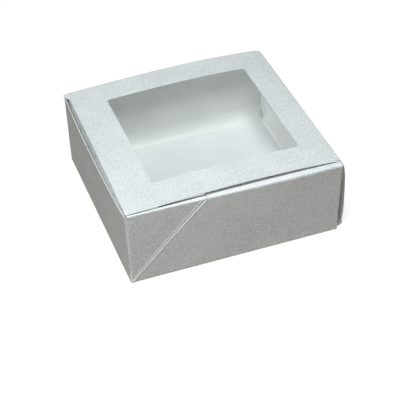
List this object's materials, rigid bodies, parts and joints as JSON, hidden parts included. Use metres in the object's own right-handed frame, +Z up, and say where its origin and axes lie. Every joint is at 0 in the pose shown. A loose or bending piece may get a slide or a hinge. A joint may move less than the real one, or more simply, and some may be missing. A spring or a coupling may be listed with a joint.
{
  "type": "windowed cookie box",
  "caption": "Square folding carton of creased silver board with rolled walls, gusseted corners and a hinged lid that has a clear film window and a tuck flap.",
  "frame": {"origin": "middle of the base's underside, on the surface the box stands on", "axes": "+Z up; +X from the closing wall to the wall that carries the lid; +Y from the front wall to the back wall"},
  "size_m": [0.16, 0.16, 0.0635],
  "materials": {
    "silver_board": "pearly silver, fine leather-grain emboss",
    "white_board": "matte, pale inside face",
    "clear_film": "clear gloss",
    "dried_glue": "satin, translucent"
  },
  "bodies": {
    "tray": {"base_panel": "white_board", "closing_wall": "silver_board", "closing_tab_front": "silver_board", "closing_tab_back": "silver_board", "hinge_wall": "silver_board", "hinge_tab_front": "silver_board", "hinge_tab_back": "silver_board", "front_wall": "silver_board", "front_gusset": "silver_board", "front_gusset_hem": "silver_board", "front_rail": "silver_board", "front_gusset_glue": "dried_glue", "back_wall": "silver_board", "back_gusset": "silver_board", "back_gusset_hem": "silver_board", "back_rail": "silver_board", "back_gusset_glue": "dried_glue"},
    "front_inner_wall": {"front_inner_wall": "silver_board", "front_floor_flange": "silver_board"},
    "back_inner_wall": {"back_inner_wall": "silver_board", "back_floor_flange": "silver_board"},
    "lid": {"lid_panel": "silver_board", "film_glue": "dried_glue", "window_film": "clear_film"},
    "tuck_flap": {"tuck_flap": "silver_board"}
  },
  "joints": [
    {"name": "lid_hinge", "type": "hinge", "parent": "tray", "child": "lid", "pos_m": [0.08, 0, 0.0603], "axis": [0, 1, 0], "range_deg": [0, 180]},
    {"name": "tuck_crease", "type": "hinge", "parent": "lid", "child": "tuck_flap", "pos_m": [-0.078, 0, 0.0603], "axis": [0, -1, 0], "range_deg": [0, 74]},
    {"name": "front_roll_crease", "type": "hinge", "parent": "tray", "child": "front_inner_wall", "pos_m": [0, -0.0758, 0.05825], "axis": [1, 0, 0], "range_deg": [0, 75]},
    {"name": "back_roll_crease", "type": "hinge", "parent": "tray", "child": "back_inner_wall", "pos_m": [0, 0.0758, 0.05825], "axis": [-1, 0, 0], "range_deg": [0, 75]}
  ]
}
